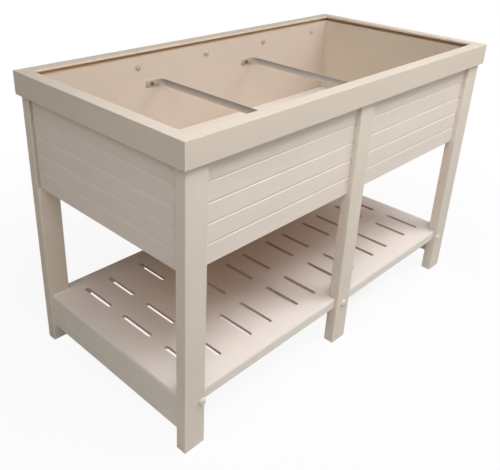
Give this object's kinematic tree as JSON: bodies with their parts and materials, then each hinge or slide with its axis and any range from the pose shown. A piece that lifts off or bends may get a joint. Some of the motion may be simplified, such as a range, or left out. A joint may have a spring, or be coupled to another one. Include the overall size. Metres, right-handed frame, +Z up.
{
  "type": "elevated planter",
  "caption": "Rectangular timber planter box on tall legs, with grooved walls, a mitred rim, cross ties and a slotted shelf below for storage.",
  "frame": {"origin": "on the ground, under the middle of the planter", "axes": "+X along the length to the right end, +Y from front to back, +Z up"},
  "size_m": [1.2, 0.596, 0.766],
  "materials": {
    "painted_timber": "satin cream paint",
    "painted_fastener": "satin cream paint",
    "galvanised_strip": "dull zinc",
    "zinc_screw": "dark zinc"
  },
  "bodies": {
    "root": {"box_floor": "painted_timber", "cross_tie_left": "galvanised_strip", "cross_tie_right": "galvanised_strip", "end_rail_left": "painted_timber", "end_rail_right": "painted_timber", "floor_bearer_back": "painted_timber", "floor_bearer_front": "painted_timber", "floor_bearer_left": "painted_timber", "floor_bearer_right": "painted_timber", "floor_cross_bearer_left": "painted_timber", "floor_cross_bearer_right": "painted_timber", "leg_back_left": "painted_timber", "leg_back_middle": "painted_timber", "leg_back_right": "painted_timber", "leg_front_left": "painted_timber", "leg_front_middle": "painted_timber", "leg_front_right": "painted_timber", "rim_back": "painted_timber", "rim_batten_back_left": "painted_timber", "rim_batten_back_right": "painted_timber", "rim_batten_front_left": "painted_timber", "rim_batten_front_right": "painted_timber", "rim_batten_left_end": "painted_timber", "rim_batten_right_end": "painted_timber", "rim_front": "painted_timber", "rim_left": "painted_timber", "rim_right": "painted_timber", "rim_screws": "painted_fastener", "shelf": "painted_timber", "shelf_bolts": "painted_fastener", "shelf_cross_rail_left": "painted_timber", "shelf_cross_rail_middle": "painted_timber", "shelf_cross_rail_right": "painted_timber", "shelf_rail_back": "painted_timber", "shelf_rail_front": "painted_timber", "tie_screws": "zinc_screw", "wall_back": "painted_timber", "wall_front": "painted_timber", "wall_left_end": "painted_timber", "wall_right_end": "painted_timber"}
  },
  "joints": []
}
